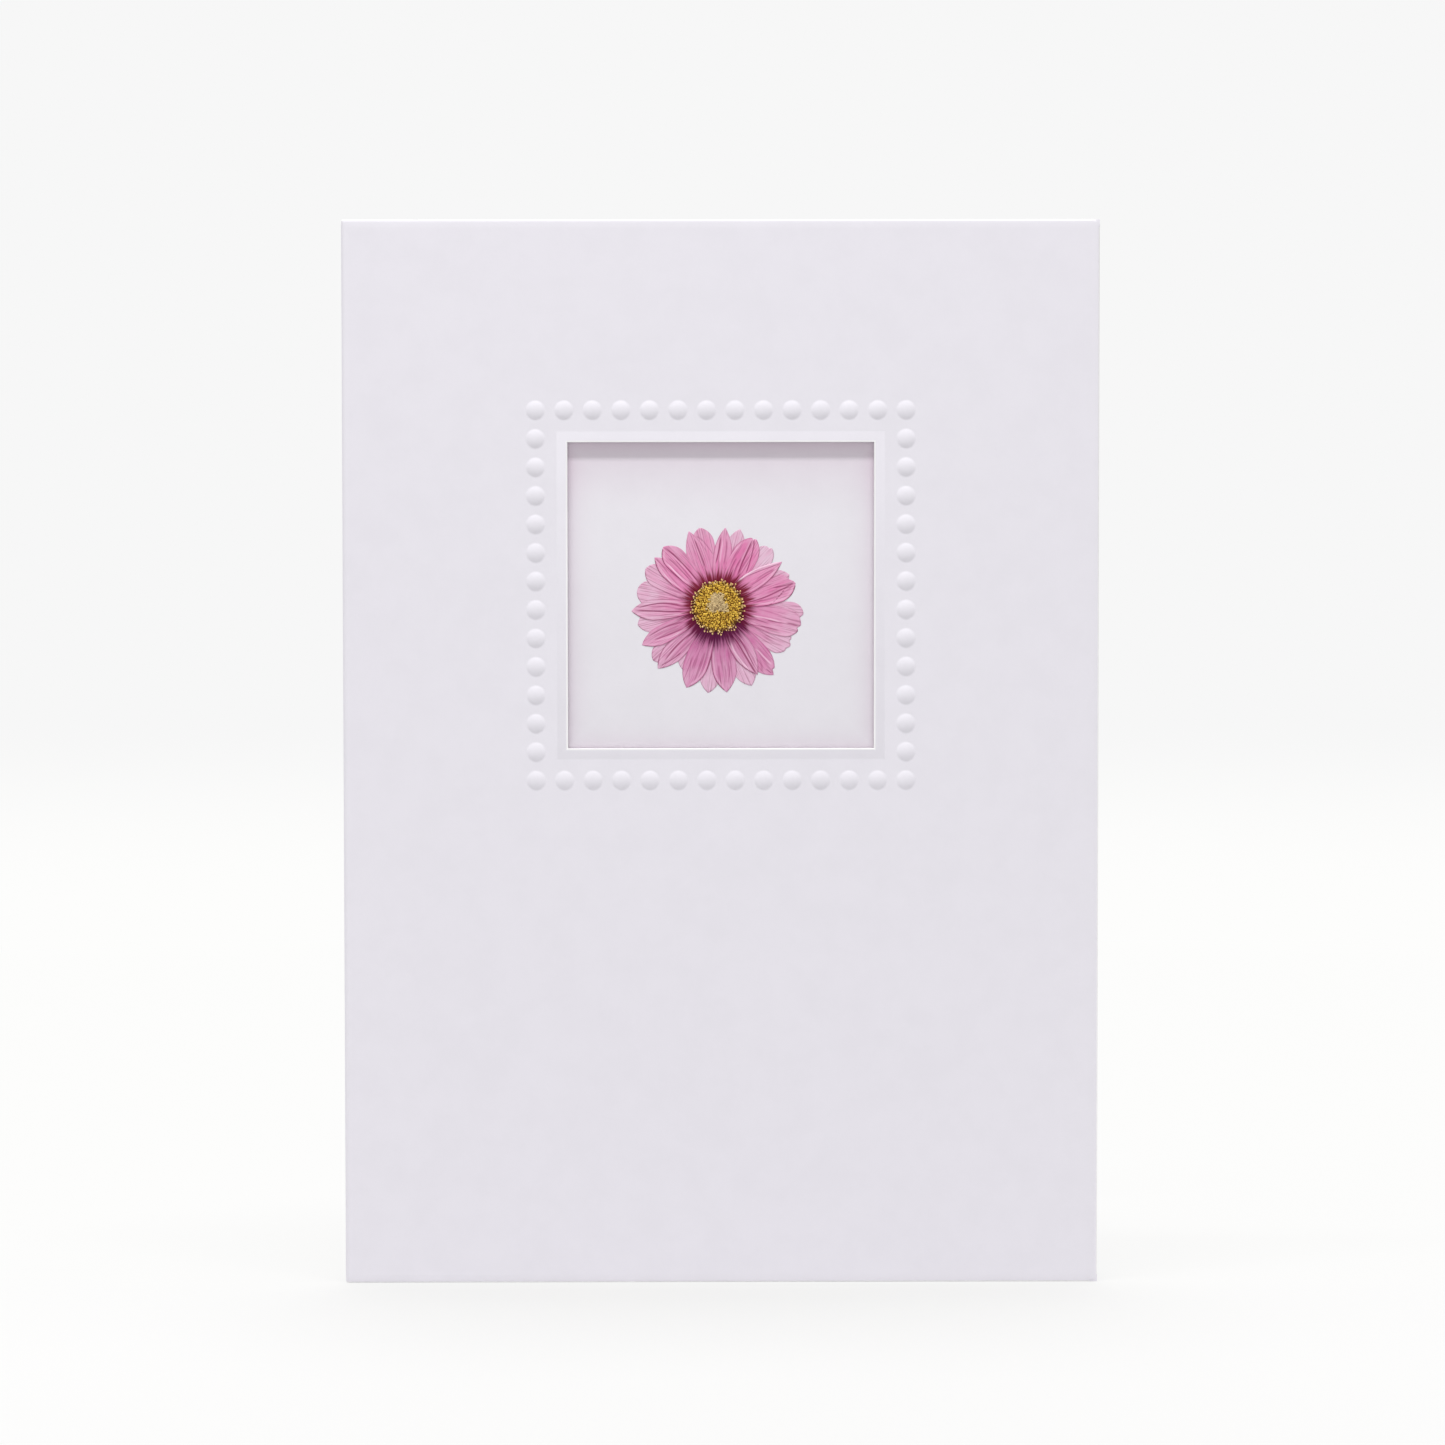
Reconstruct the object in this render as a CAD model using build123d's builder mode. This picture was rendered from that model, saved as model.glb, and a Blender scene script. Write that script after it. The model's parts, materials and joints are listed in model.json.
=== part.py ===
"""Greeting card that stands half open, with a pressed daisy in its raised, beaded window.

The front panel stands upright and faces -Y. The fold is at its left, and the back panel
leans away behind it. The origin is the middle of the base of the whole card.
"""

import os
from collections import namedtuple
from math import atan2, ceil, cos, degrees, pi, radians, sin, sqrt

from build123d import *

os.makedirs("parts", exist_ok=True)

# Folded sheet
panel_width = 105.0
panel_height = 148.0
sheet_thick = 0.5
fold_inner_radius = 0.15
opening_angle = 35.0

# Raised window frame, its middle measured down from the card's top edge
window_drop = 52.0
window_side = 42.5
rim_crest = 0.35
rim_bevel = 1.1
rim_rise = 0.2
rim_edge_radius = 0.12

# Beads embossed round the frame: domes pressed forward, each a hollow seen from behind.
# A dome is drawn in flats: the sides of its rings, and the shares of its rise they reach.
bead_count = 14
bead_offset = 3.0
bead_radius = 1.33
bead_rise = 0.25
bead_sides = 12
bead_rings = (0.58, 0.97)
hollow_sides = 8
hollow_rings = (0.9,)

# Sheet glued behind the window
backing_thick = 0.3
backing_inset = 2.0

# Pressed flower, measured from the middle of the window
flower_shift_x = -0.45
flower_shift_z = -1.55
petal_thick = 0.08
petal_root_radius = 2.4
petal_root_width = 1.0
disc_radius = 3.75
disc_core_gap = 0.1
disc_rise = 0.26
button_radius = 1.65
button_rise = 0.1
floret_rise = 0.14
floret_radius = 0.23
floret_sides = 5
floret_spacing = 0.345

# Each petal as it lies, seen from the front: the direction of its tip and of its root in
# degrees from +X, how far the tip reaches, its greatest width, the length over which it
# narrows to its tip, and its level in the pile, 0 against the sheet.
Petal = namedtuple("Petal", "direction root reach width taper level")
petals = (
    Petal(354.8, 357.2, 12.0, 3.1, 1.8, 1),
    Petal(16.6, 13.3, 11.3, 3.8, 2.7, 3),
    Petal(23.8, 26.4, 10.9, 3.0, 2.4, 1),
    Petal(34.4, 39.0, 10.9, 2.5, 4.2, 4),
    Petal(47.2, 49.6, 11.1, 3.0, 1.9, 0),
    Petal(61.3, 64.4, 10.9, 3.8, 3.0, 3),
    Petal(73.7, 75.8, 11.2, 2.8, 3.2, 0),
    Petal(84.0, 88.5, 11.0, 2.6, 4.0, 2),
    Petal(103.0, 103.7, 11.2, 3.2, 2.3, 1),
    Petal(111.0, 116.0, 11.2, 2.8, 4.0, 2),
    Petal(131.9, 128.5, 11.2, 3.2, 2.4, 3),
    Petal(142.1, 152.6, 11.1, 2.6, 3.2, 2),
    Petal(152.5, 156.2, 11.3, 3.2, 2.0, 1),
    Petal(168.8, 168.6, 11.4, 3.6, 1.9, 0),
    Petal(183.2, 180.4, 12.0, 2.8, 3.4, 4),
    Petal(192.7, 190.3, 11.4, 2.8, 2.0, 1),
    Petal(206.8, 205.0, 11.8, 2.6, 3.0, 3),
    Petal(219.8, 219.6, 11.7, 3.0, 2.0, 0),
    Petal(226.1, 224.9, 12.0, 2.9, 3.6, 2),
    Petal(240.1, 241.1, 10.0, 3.0, 2.2, 1),
    Petal(249.1, 250.8, 12.1, 3.4, 3.6, 3),
    Petal(263.7, 264.0, 12.1, 3.1, 2.8, 0),
    Petal(276.1, 277.3, 12.0, 3.4, 3.6, 2),
    Petal(293.1, 291.3, 12.0, 3.1, 2.8, 1),
    Petal(300.2, 298.1, 11.0, 3.0, 4.2, 3),
    Petal(309.0, 309.1, 12.3, 3.4, 3.2, 2),
    Petal(331.3, 330.6, 11.5, 3.7, 2.0, 0),
    Petal(346.3, 349.4, 11.9, 4.0, 2.2, 2),
)

# Sizes that follow from those above
fold_outer_radius = fold_inner_radius + sheet_thick
panel_flat = panel_width - fold_outer_radius
back_turn = 180 - opening_angle
rim_top_side = window_side + 2 * rim_crest
rim_foot_side = rim_top_side + 2 * rim_bevel
rim_draft = degrees(atan2(rim_bevel, rim_rise))
bead_span = rim_foot_side + 2 * bead_offset
bead_pitch = bead_span / (bead_count - 1)
bead_dome_radius = (bead_radius**2 + bead_rise**2) / (2 * bead_rise)
hollow_dome_radius = bead_dome_radius - sheet_thick
petal_pile = (1 + max(petal.level for petal in petals)) * petal_thick
disc_height = petal_pile + disc_rise + floret_rise
window_height = panel_height - window_drop

# The card's depth is shared equally in front of and behind the origin
front_reach = max(rim_rise, bead_rise, disc_height - sheet_thick)
back_corner = fold_outer_radius * (1 + sin(radians(90 + opening_angle)))
back_reach = back_corner + panel_flat * sin(radians(opening_angle))
face_y = (front_reach - back_reach) / 2
fold_centre_x = fold_outer_radius - panel_width / 2

# Planes seen from the front: local x is +X, local y is +Z, and outwards is -Y
front_face = Plane(origin=(0, face_y, window_height), x_dir=(1, 0, 0), z_dir=(0, -1, 0))
rear_face = front_face.offset(-sheet_thick)
flower_base = Plane(
    origin=(flower_shift_x, face_y + sheet_thick, window_height + flower_shift_z),
    x_dir=(1, 0, 0),
    z_dir=(0, -1, 0),
)


def dome(sphere_radius, sides, rings):
    """A dome that stands a bead's rise above the XY plane, drawn in rings of sloping flats."""
    low = 0.0
    with BuildPart() as shape:
        for share in rings:
            high = share * bead_rise
            low_radius, high_radius = (
                sqrt(sphere_radius**2 - (sphere_radius - bead_rise + level) ** 2)
                for level in (low, high)
            )
            draft = atan2((low_radius - high_radius) * cos(pi / sides), high - low)
            with BuildSketch(Plane.XY.offset(low)):
                RegularPolygon(low_radius, side_count=sides)
            extrude(amount=high - low, taper=degrees(draft))
            low = high
    return shape.part


def petal_plane(petal):
    """Where a petal is drawn: its root is the origin, and its tip lies along local +X."""
    root_turn = radians(petal.root)
    tip_turn = radians(petal.direction)
    level = flower_base.offset(petal.level * petal_thick)
    root = level.from_local_coords(Vector(cos(root_turn), sin(root_turn)) * petal_root_radius)
    tip = level.from_local_coords(Vector(cos(tip_turn), sin(tip_turn)) * petal.reach)
    return Plane(origin=root, x_dir=tip - root, z_dir=level.z_dir), (tip - root).length


def floret_centres():
    """Centres of the florets, in the spiral in which a daisy's disc grows them."""
    golden_angle = pi * (3 - sqrt(5))
    first = ceil(((button_radius + floret_radius) / floret_spacing) ** 2)
    last = int(((disc_radius - floret_radius) / floret_spacing) ** 2)
    for index in range(first, last):
        radius = floret_spacing * sqrt(index)
        yield radius * cos(index * golden_angle), radius * sin(index * golden_angle)


bead_dome = dome(bead_dome_radius, bead_sides, bead_rings)
bead_hollow = dome(hollow_dome_radius, hollow_sides, hollow_rings)

# One sheet, folded once at the left, with its window pressed forward and cut out
with BuildPart() as card:
    with BuildSketch():
        with BuildLine():
            front = Line((panel_width / 2, face_y), (fold_centre_x, face_y))
            fold = JernArc(front @ 1, front % 1, fold_outer_radius, -back_turn)
            Line(fold @ 1, fold @ 1 + (fold % 1) * panel_flat)
            offset(amount=sheet_thick, side=Side.RIGHT)
        make_face()
    extrude(amount=panel_height)
    with BuildSketch(front_face):
        Rectangle(rim_foot_side, rim_foot_side)
    extrude(amount=rim_rise, taper=rim_draft)
    with BuildSketch(rear_face):
        Rectangle(rim_foot_side, rim_foot_side)
    extrude(amount=rim_rise, taper=rim_draft, mode=Mode.SUBTRACT)
    with BuildSketch(front_face):
        Rectangle(window_side, window_side)
    extrude(amount=sheet_thick + rim_rise, both=True, mode=Mode.SUBTRACT)
    crest = card.faces().filter_by(Axis.Y).sort_by(Axis.Y)[0]
    fillet(crest.inner_wires()[0].edges(), radius=rim_edge_radius)
    with Locations(front_face):
        with GridLocations(bead_pitch, bead_span, bead_count, 2):
            add(bead_dome)
        with GridLocations(bead_span, bead_pitch, 2, bead_count - 2):
            add(bead_dome)
    with Locations(rear_face):
        with GridLocations(bead_pitch, bead_span, bead_count, 2):
            add(bead_hollow, mode=Mode.SUBTRACT)
        with GridLocations(bead_span, bead_pitch, 2, bead_count - 2):
            add(bead_hollow, mode=Mode.SUBTRACT)
card.part.label = "card"
export_step(card.part, "parts/card.step")

# Sheet glued flat behind the front panel, which closes the window and carries the flower
with BuildPart() as backing_sheet:
    with BuildSketch(rear_face):
        with Locations((0, panel_height / 2 - window_height)):
            Rectangle(panel_width - 2 * backing_inset, panel_height - 2 * backing_inset)
    extrude(amount=-backing_thick)
backing_sheet.part.label = "backing_sheet"
export_step(backing_sheet.part, "parts/backing_sheet.step")

# Petals, each at its own level of the pressed pile
for number, petal in enumerate(petals, start=1):
    plane, length = petal_plane(petal)
    shoulder = (length - petal.taper, petal.width / 2)
    with BuildPart() as petal_blade:
        with BuildSketch(plane):
            with BuildLine():
                TangentArc(shoulder, (0, petal_root_width / 2), tangent=(-1, 0))
                TangentArc(shoulder, (length, 0), tangent=(1, 0))
                mirror(about=Plane.XZ)
                Line((0, petal_root_width / 2), (0, -petal_root_width / 2))
            make_face()
        extrude(amount=petal_thick)
    petal_blade.part.label = f"petal_{number:02d}"
    export_step(petal_blade.part, f"parts/petal_{number:02d}.step")

# Disc of the flower: a core between the petals' roots, and a plate on top of them that is
# set with florets outside its smooth middle
with BuildPart() as flower_disc:
    with BuildSketch(flower_base):
        Circle(petal_root_radius - disc_core_gap)
    extrude(amount=petal_pile)
    with BuildSketch(flower_base.offset(petal_pile)):
        Circle(disc_radius)
    extrude(amount=disc_rise)
    with BuildSketch(flower_base.offset(petal_pile + disc_rise)):
        Circle(button_radius)
    extrude(amount=button_rise)
    with BuildSketch(flower_base.offset(petal_pile + disc_rise)):
        with Locations(*floret_centres()):
            RegularPolygon(floret_radius, side_count=floret_sides)
    extrude(amount=floret_rise)
flower_disc.part.label = "flower_disc"
export_step(flower_disc.part, "parts/flower_disc.step")
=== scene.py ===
"""Looks of a greeting card that stands half open, with a pressed daisy in its beaded window.

Each operator in the sidebar panel makes one piece, or one group of like pieces, over the
packed card. Lengths are in metres. The front panel is worked flat, with the middle of its
window at the origin, and is then put in its place.
"""

import json
import random
from collections import namedtuple
from math import atan2, cos, exp, pi, radians, sin, sqrt

import bmesh
import bpy
from bpy.props import FloatProperty, FloatVectorProperty, IntProperty, PointerProperty
from mathutils import Matrix, Vector, noise

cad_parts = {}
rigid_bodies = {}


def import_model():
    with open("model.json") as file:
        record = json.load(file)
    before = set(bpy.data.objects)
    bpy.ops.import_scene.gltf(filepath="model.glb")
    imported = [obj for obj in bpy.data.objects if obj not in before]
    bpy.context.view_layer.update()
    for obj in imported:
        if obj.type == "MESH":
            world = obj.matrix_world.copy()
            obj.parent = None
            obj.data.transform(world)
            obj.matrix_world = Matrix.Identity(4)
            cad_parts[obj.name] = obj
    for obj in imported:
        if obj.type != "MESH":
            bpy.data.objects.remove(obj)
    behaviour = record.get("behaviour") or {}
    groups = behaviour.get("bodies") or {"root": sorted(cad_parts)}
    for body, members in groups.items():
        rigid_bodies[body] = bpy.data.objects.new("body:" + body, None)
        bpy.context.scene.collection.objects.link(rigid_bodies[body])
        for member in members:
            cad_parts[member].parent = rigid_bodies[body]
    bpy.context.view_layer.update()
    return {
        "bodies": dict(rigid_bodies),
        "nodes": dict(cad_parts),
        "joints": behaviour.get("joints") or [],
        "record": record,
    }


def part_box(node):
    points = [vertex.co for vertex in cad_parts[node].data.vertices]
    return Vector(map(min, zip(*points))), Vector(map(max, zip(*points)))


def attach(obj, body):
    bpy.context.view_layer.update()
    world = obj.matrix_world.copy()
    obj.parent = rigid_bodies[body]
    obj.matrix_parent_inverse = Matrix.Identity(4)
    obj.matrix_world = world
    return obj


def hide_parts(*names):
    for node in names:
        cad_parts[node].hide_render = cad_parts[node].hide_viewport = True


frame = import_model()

bl_info = {
    "name": "Pressed Daisy Card",
    "version": (1, 0, 0),
    "blender": (4, 5, 0),
    "location": "3D Viewport > Sidebar > Card",
    "description": "Builds a folded card with an embossed window and a pressed daisy",
    "category": "Object",
}

MM = 0.001

# The photograph as it seems to have been taken: where its camera stood and how it was turned,
# which the stage's camera repeats, its lens and sensor, and the side of its picture. Lengths
# are in mm, turns in degrees, and the side in pixels.
CAMERA_PLACE = (-5.0, -800.0, 120.8)
CAMERA_YAW = -0.388
CAMERA_DIP = 3.158
CAMERA_ROLL = -0.053
CAMERA_LENS = 138.16
CAMERA_SENSOR = 36.0
PHOTO_SIDE = 1445

# Height of the window's middle, and the flower's middle from there, in mm
WINDOW_HEIGHT = 96.0
FLOWER_MIDDLE = (-0.45, -1.55)


def screen(red, green, blue):
    """A colour as it looks on a screen, 0 to 255, turned into the linear one that is stored."""
    return tuple(
        (part / 255 / 12.92 if part <= 10 else ((part / 255 + 0.055) / 1.055) ** 2.4)
        for part in (red, green, blue)
    )


def length(name, description, millimetres):
    return FloatProperty(
        name=name,
        description=description,
        default=millimetres * MM,
        min=0.0,
        unit="LENGTH",
        precision=5,
    )


def colour(name, description, *parts):
    return FloatVectorProperty(
        name=name,
        description=description,
        default=screen(*parts),
        size=3,
        min=0.0,
        max=1.0,
        subtype="COLOR",
    )


class SheetSizes(bpy.types.PropertyGroup):
    """Sizes of the folded sheet and of its embossed window."""

    panel_width: length("Panel width", "Width of one panel, with its share of the fold", 105)
    panel_height: length("Panel height", "Height of both panels", 148)
    thickness: length("Thickness", "Thickness of the folded sheet", 0.5)
    fold_radius: length("Fold radius", "Outer radius of the fold", 0.65)
    opening: FloatProperty(
        name="Opening",
        description="Angle between the two panels",
        default=radians(35),
        subtype="ANGLE",
    )
    window_drop: length("Window drop", "Depth of the window's middle below the top edge", 52)
    window_side: length("Window side", "Side of the square window", 42.5)
    crest: length("Crest", "Width of the frame's flat top", 0.35)
    bevel: length("Bevel", "Width of the frame's slope", 1.1)
    rise: length("Rise", "Height of the frame above the panel", 0.2)
    bead_count: IntProperty(
        name="Beads", description="Beads along one side", default=14, min=2
    )
    bead_offset: length("Bead offset", "Distance of the beads from the frame's foot", 3.0)
    bead_radius: length("Bead radius", "Radius of one bead at its foot", 1.33)
    bead_rise: length("Bead rise", "Height of one bead", 0.25)


class FlowerSizes(bpy.types.PropertyGroup):
    """Sizes of the pressed daisy."""

    middle_x: FloatProperty(
        name="Middle X",
        description="Shift from the window's middle",
        default=FLOWER_MIDDLE[0] * MM,
        unit="LENGTH",
    )
    middle_z: FloatProperty(
        name="Middle Z",
        description="Shift from the window's middle",
        default=FLOWER_MIDDLE[1] * MM,
        unit="LENGTH",
    )
    petal_thickness: length("Petal thickness", "Thickness of a dried petal", 0.018)
    petal_step: length("Petal step", "Height of one level of the pile of petals", 0.034)
    root_radius: length("Root radius", "Distance of the petals' roots from the middle", 2.4)
    root_width: length("Root width", "Width of a petal at its root", 1.0)
    disc_radius: length("Disc radius", "Radius of the flower's disc", 3.75)
    button_radius: length("Button radius", "Radius of the pale middle of the disc", 1.5)
    floret_radius: length("Floret radius", "Radius of one floret's knob", 0.145)
    floret_spacing: length("Floret spacing", "Step of the spiral of florets", 0.152)
    bud_spacing: length("Bud spacing", "Step of the spiral of unopened florets", 0.115)


class PaperColours(bpy.types.PropertyGroup):
    """Colours of the sheets."""

    sheet: colour("Sheet", "Face of the folded sheet", 238, 235, 242)
    cut: colour("Cut edge", "Core of the sheet, seen where it is cut", 250, 249, 250)
    backing: colour("Backing", "Sheet behind the window", 235, 232, 238)


class FlowerColours(bpy.types.PropertyGroup):
    """Colours of the pressed daisy."""

    petal_deep: colour("Petal", "Thick petal, seen over others", 228, 124, 177)
    petal_low: colour("Lower petal", "Thick petal below the disc", 210, 121, 171)
    petal_thin: colour("Thin petal", "Thin petal that lies on the paper alone", 235, 199, 220)
    # The ridge colour is a painted highlight, laid on raised lines and curled edges of the petals
    petal_highlight: colour("Petal ridge", "Raised lines and curled edges of the petals", 250, 208, 230)
    # The vein colour serves for the veins and for painted shade in creases and at overlapping edges
    petal_vein_and_shade: colour("Petal vein", "Veins and creases", 132, 30, 80)
    petal_root: colour("Petal root", "Base of the petals", 118, 3, 39)
    petal_root_low: colour("Lower petal root", "Base of the petals below the disc", 100, 16, 72)
    floret: colour("Floret", "Lit knobs of the disc", 254, 214, 86)
    floret_low: colour("Floret side", "Darker knobs of the disc", 164, 114, 16)
    floret_gap: colour("Floret gap", "Ground between the knobs", 124, 84, 16)
    bud: colour("Bud", "Unopened florets in the middle of the disc", 234, 206, 152)
    bud_low: colour("Bud side", "Darker buds in the middle of the disc", 104, 70, 38)
    stamen: colour("Stamen", "Tips round the disc's edge", 252, 220, 158)


class StageSettings(bpy.types.PropertyGroup):
    """Light and view."""

    lamp_power: FloatProperty(
        name="Lamp power",
        description="Power of the strip lamp overhead",
        default=3.9,
        unit="POWER",
    )
    rear_power: FloatProperty(
        name="Rear power",
        description="Power of the lamp behind the card",
        default=2.0,
        unit="POWER",
    )
    surround: FloatProperty(
        name="Surround",
        description="Brightness of the white room round the card",
        default=0.74,
    )
    backdrop: colour("Backdrop", "What is seen behind the card", 247, 247, 247)
    floor: colour("Floor", "Surface that the card stands on", 222, 221, 222)
    floor_bounce: colour("Floor for light", "How much light the floor gives back", 219, 219, 219)
    floor_glow: colour("Floor far off", "Floor where no shadow of the card reaches it", 253, 253, 252)
    lens: FloatProperty(
        name="Lens", description="Focal length", default=CAMERA_LENS, unit="CAMERA"
    )


class Number:
    """A number inside a material. Sums on it add the Math nodes that work them out."""

    def __init__(self, finish, socket):
        self.finish = finish
        self.socket = socket

    def math(self, operation, *others, clamp=False):
        inputs = dict(enumerate((self, *others)))
        settings = {"operation": operation, "use_clamp": clamp}
        return Number(self.finish, self.finish.node("ShaderNodeMath", settings, inputs).outputs[0])

    def __add__(self, other):
        return self.math("ADD", other)

    def __mul__(self, other):
        return self.math("MULTIPLY", other)

    def __sub__(self, other):
        return self.math("SUBTRACT", other)

    def __rsub__(self, other):
        return (self * -1) + other

    def __pow__(self, other):
        return self.math("POWER", other)

    def __truediv__(self, other):
        return self.math("DIVIDE", other)

    __radd__ = __add__
    __rmul__ = __mul__

    def clamped(self):
        return self.math("ADD", 0.0, clamp=True)

    def between(self, low, high):
        """0 below low, 1 above high, and a soft ramp between; low may be the higher number."""
        settings = {"interpolation_type": "SMOOTHSTEP"}
        ends = {"To Min": 0.0, "To Max": 1.0}
        if low > high:
            low, high = high, low
            ends = {"To Min": 1.0, "To Max": 0.0}
        inputs = {"Value": self, "From Min": low, "From Max": high, **ends}
        return Number(self.finish, self.finish.node("ShaderNodeMapRange", settings, inputs).outputs[0])


class Finish:
    """The nodes that make a material, or the world round the card."""

    def __init__(self, owner):
        self.owner = owner
        owner.use_nodes = True
        self.tree = owner.node_tree
        self.tree.nodes.clear()

    def node(self, kind, settings, inputs):
        """Add one node: its settings first, then the values or links of its sockets."""
        node = self.tree.nodes.new(kind)
        for name, value in settings.items():
            setattr(node, name, value)
        for name, value in inputs.items():
            if isinstance(value, Number):
                value = value.socket
            if isinstance(value, bpy.types.NodeSocket):
                self.tree.links.new(value, node.inputs[name])
            else:
                node.inputs[name].default_value = value
        return node

    def place(self):
        """The spot on the object, in metres."""
        return self.node("ShaderNodeTexCoord", {}, {}).outputs["Object"]

    def grain(self, vector, scale, detail=2.0, roughness=0.5):
        """Cloudy noise from 0 to 1."""
        inputs = {"Vector": vector, "Scale": scale, "Detail": detail, "Roughness": roughness}
        return Number(self, self.node("ShaderNodeTexNoise", {}, inputs).outputs[0])

    def blend(self, factor, first, second, way="MIX"):
        """Mix two colours by a factor."""
        settings = {"data_type": "RGBA", "blend_type": way}
        first = (*first, 1.0) if isinstance(first, tuple) else first
        second = (*second, 1.0) if isinstance(second, tuple) else second
        return self.node("ShaderNodeMix", settings, {0: factor, 6: first, 7: second}).outputs[2]

    def stretched(self, vector, scale):
        """The same spot with its axes stretched."""
        return self.node("ShaderNodeMapping", {}, {"Vector": vector, "Scale": scale}).outputs[0]

    def channels(self, name):
        """The four numbers of a colour attribute."""
        stored = self.node("ShaderNodeAttribute", {"attribute_name": name}, {})
        split = self.node("ShaderNodeSeparateColor", {}, {"Color": stored.outputs["Color"]})
        return [Number(self, socket) for socket in (*split.outputs, stored.outputs["Alpha"])]

    def relief(self, height, depth, distance):
        """A bump from a height."""
        inputs = {"Height": height, "Strength": depth, "Distance": distance}
        return self.node("ShaderNodeBump", {}, inputs).outputs[0]

    def surface(self, inputs):
        """Close the material with its shader."""
        shader = self.node("ShaderNodeBsdfPrincipled", {}, inputs)
        self.node("ShaderNodeOutputMaterial", {}, {"Surface": shader.outputs[0]})
        return self.owner


def tint(group_colour):
    """A colour of a settings group as plain numbers."""
    return tuple(group_colour)


# Painted shade on the backing near the window, for the shade of its sides, the shadow under
# its upper edge and the occlusion in its corners: its tint, how far it reaches in from the sides,
# where it starts and is full below the upper edge, where it is gone and full outside the window,
# the depth that counts as the front, how near a corner has to be, and the share of each cause
WINDOW_SHADE_TINT = (0.85, 0.76, 0.81)
SIDE_REACH = 6.0 * MM
SHADOW_ENDS = (11.0 * MM, 0.8 * MM)
WINDOW_ENDS = (1.0 * MM, 0.3 * MM)
FRONT_DEPTH = 0.1 * MM
CORNER_REACH = 2.0 * MM
SIDE_SHARE = 0.6
SHADOW_SHARE = 0.5
CORNER_SHARE = 0.2


def painted_window_shade(finish, place, paper, window):
    """Paper with painted shade, dimmer and rosier, on its front towards a window's edge.

    The window is given as its middle's height, half its side and the front's Y.
    """
    middle, half, front = window
    split = finish.node("ShaderNodeSeparateXYZ", {}, {"Vector": place})
    beside = Number(finish, split.outputs["X"]).math("ABSOLUTE")
    above = Number(finish, split.outputs["Z"]) - middle
    reach = beside.math("MAXIMUM", above.math("ABSOLUTE"))
    near = (1 - (half - reach) / SIDE_REACH).clamped() ** 3
    overhung = above.between(*(half - inwards for inwards in SHADOW_ENDS))
    inside = reach.between(*(half + outwards for outwards in WINDOW_ENDS))
    inside = inside * Number(finish, split.outputs["Y"]).between(front + FRONT_DEPTH, front)
    inputs = {"Distance": CORNER_REACH}
    corner = finish.node("ShaderNodeAmbientOcclusion", {"samples": 8}, inputs).outputs["AO"]
    # Painted shade along the sides, a painted shadow under the upper edge, and painted occlusion in
    # the corners
    painted_shade = near * SIDE_SHARE + overhung * SHADOW_SHARE
    painted_shade = painted_shade + (1 - Number(finish, corner)) * CORNER_SHARE
    shaded_paper = finish.blend(1.0, paper, WINDOW_SHADE_TINT, way="MULTIPLY")
    return finish.blend((painted_shade * inside).clamped(), paper, shaded_paper)


def paper_finish(name, shade, tooth=0.25, window=None):
    """Uncoated card: cloudy pulp, a fine tooth and next to no gloss."""
    finish = Finish(bpy.data.materials.new(name))
    place = finish.place()
    pulp = finish.grain(place, 220.0, detail=4.0, roughness=0.6)
    fibre = finish.grain(place, 2600.0, detail=3.0, roughness=0.65)
    shade = tint(shade)
    cloud = tuple(part * 0.98 for part in shade)
    fleck = tuple(part * 0.93 for part in shade)
    cloudy = finish.blend(pulp.between(0.3, 0.75), shade, cloud)
    paper = finish.blend(fibre.between(0.55, 0.8) * 0.25, cloudy, fleck)
    # With a window given, painted shade is laid on the paper towards its edges
    if window:
        paper = painted_window_shade(finish, place, paper, window)
    return finish.surface(
        {
            "Base Color": paper,
            "Roughness": 0.85,
            "Specular IOR Level": 0.25,
            "Normal": finish.relief(fibre + pulp * 0.5, tooth, 0.02 * MM),
        }
    )


def petal_finish(colours):
    """Dried petal: a dark root, fine veins along it, and a paler, thinner tip."""
    finish = Finish(bpy.data.materials.new("dried_petal"))
    along_across = finish.node("ShaderNodeUVMap", {"uv_map": "along_across"}, {}).outputs[0]
    layers, line, tone, low_side = finish.channels("pressed")
    split = finish.node("ShaderNodeSeparateXYZ", {}, {"Vector": along_across})
    along = Number(finish, split.outputs[0])
    streaks = finish.grain(finish.stretched(along_across, (2.0, 7.0, 1.0)), 1.0, detail=2.0)
    fine = finish.grain(finish.stretched(along_across, (2.6, 21.0, 1.0)), 1.0, detail=1.0)
    mottle = finish.grain(finish.place(), 700.0, detail=4.0, roughness=0.6)
    deep = finish.blend(low_side, tint(colours.petal_deep), tint(colours.petal_low))
    body = finish.blend(
        (tone + layers * 0.2 + (mottle - 0.5) * 0.6 + (streaks - 0.5) * 0.6).clamped(),
        tint(colours.petal_thin),
        deep,
    )
    veined = finish.blend(fine.between(0.5, 0.66) * 0.42, body, tint(colours.petal_vein_and_shade))
    # Dark lines: veins, and painted shade in creases and at overlapping edges; light lines: painted
    # highlights on ridges and curled edges
    marked = finish.blend((line * 0.95).clamped(), veined, tint(colours.petal_vein_and_shade))
    lit = finish.blend((line * -0.85).clamped(), marked, tint(colours.petal_highlight))
    reach = along + (streaks - 0.5) * 0.3 + (fine - 0.5) * 0.24
    end = low_side * 0.06 + 0.436
    dark = ((end - reach) / (end - 0.325)).between(0.0, 1.0) * 0.97
    dark = (dark + reach.between(0.65, 0.38) * low_side * 0.2).clamped()
    root = finish.blend(low_side, tint(colours.petal_root), tint(colours.petal_root_low))
    rooted = finish.blend(dark, lit, root)
    return finish.surface(
        {
            "Base Color": rooted,
            "Roughness": 0.72,
            "Specular IOR Level": 0.25,
            "Normal": finish.relief(streaks * 0.5 + fine * 0.5, 0.3, 0.04 * MM),
        }
    )


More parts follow.
